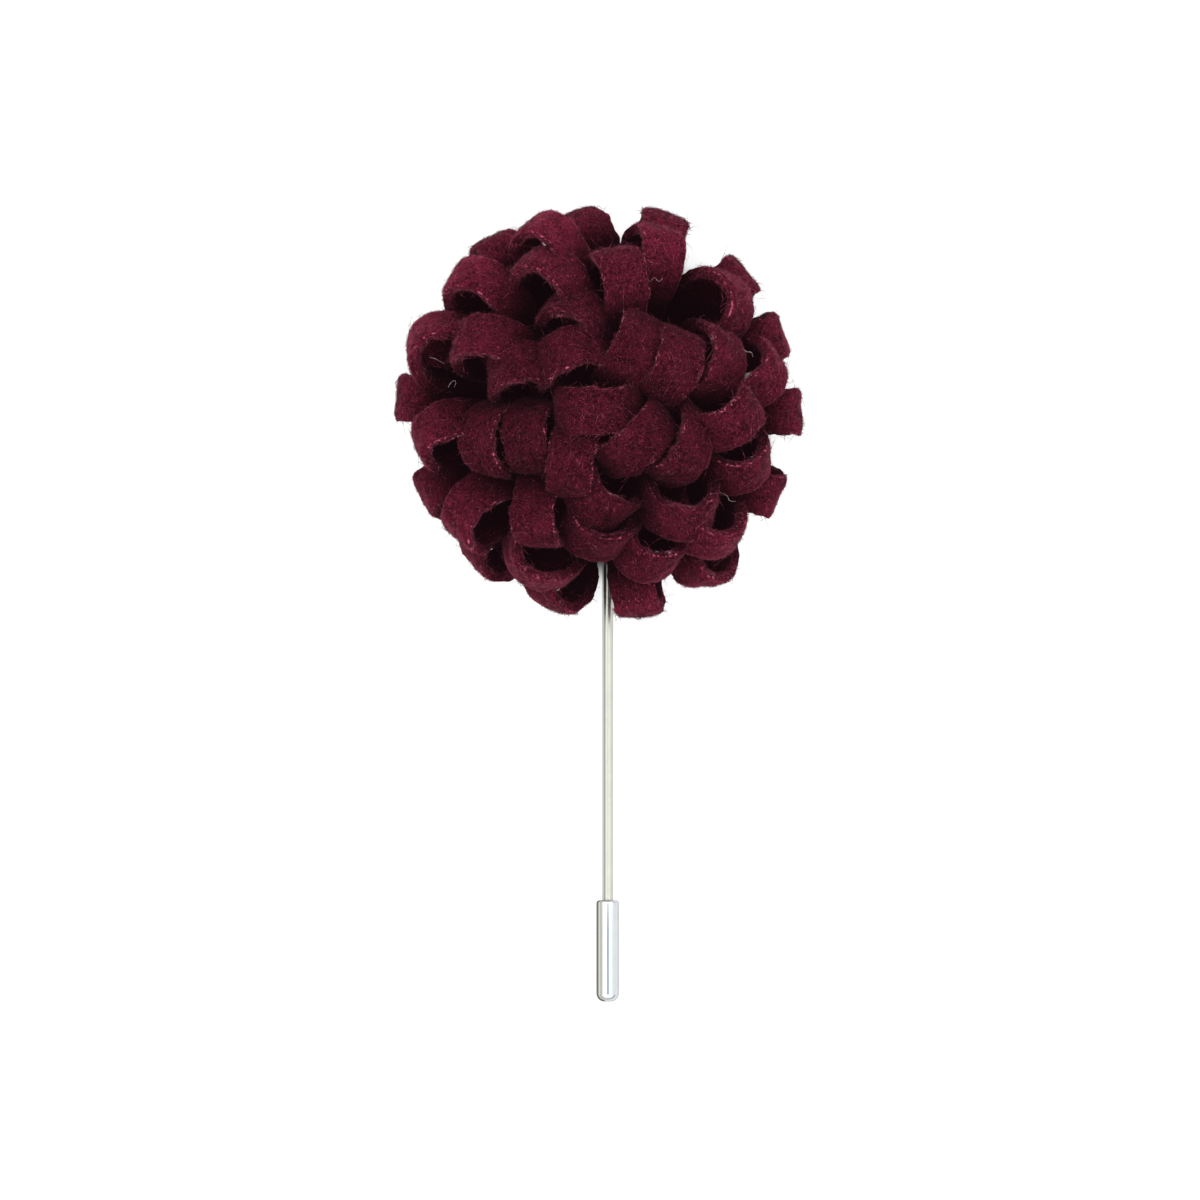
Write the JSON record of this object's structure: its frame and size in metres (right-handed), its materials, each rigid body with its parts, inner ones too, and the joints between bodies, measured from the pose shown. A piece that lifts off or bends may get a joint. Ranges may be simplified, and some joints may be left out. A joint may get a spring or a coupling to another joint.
{
  "type": "lapel pin",
  "caption": "Round flower of looped wool felt bands on a straight stick pin, with a polished metal cap over its point.",
  "frame": {"origin": "middle of the felt backing's rear face, which lies on the floor", "axes": "+Z out of the flower's face, -Y along the pin towards its point, +X to the flower's right as seen from the front"},
  "size_m": [0.0447, 0.0876, 0.0196],
  "materials": {
    "felt": "fuzzy wool felt",
    "backing_felt": "smooth pressed felt",
    "pin_steel": "polished",
    "cap_chrome": "mirror"
  },
  "bodies": {
    "flower": {"looped_flower": "felt", "backing_disc": "backing_felt", "stick_pin": "pin_steel"},
    "cap": {"pin_cap": "cap_chrome"}
  },
  "joints": [
    {"name": "cap_slide", "type": "slide", "parent": "flower", "child": "cap", "axis": [0, -1, 0], "range_m": [0, 0.02]}
  ]
}
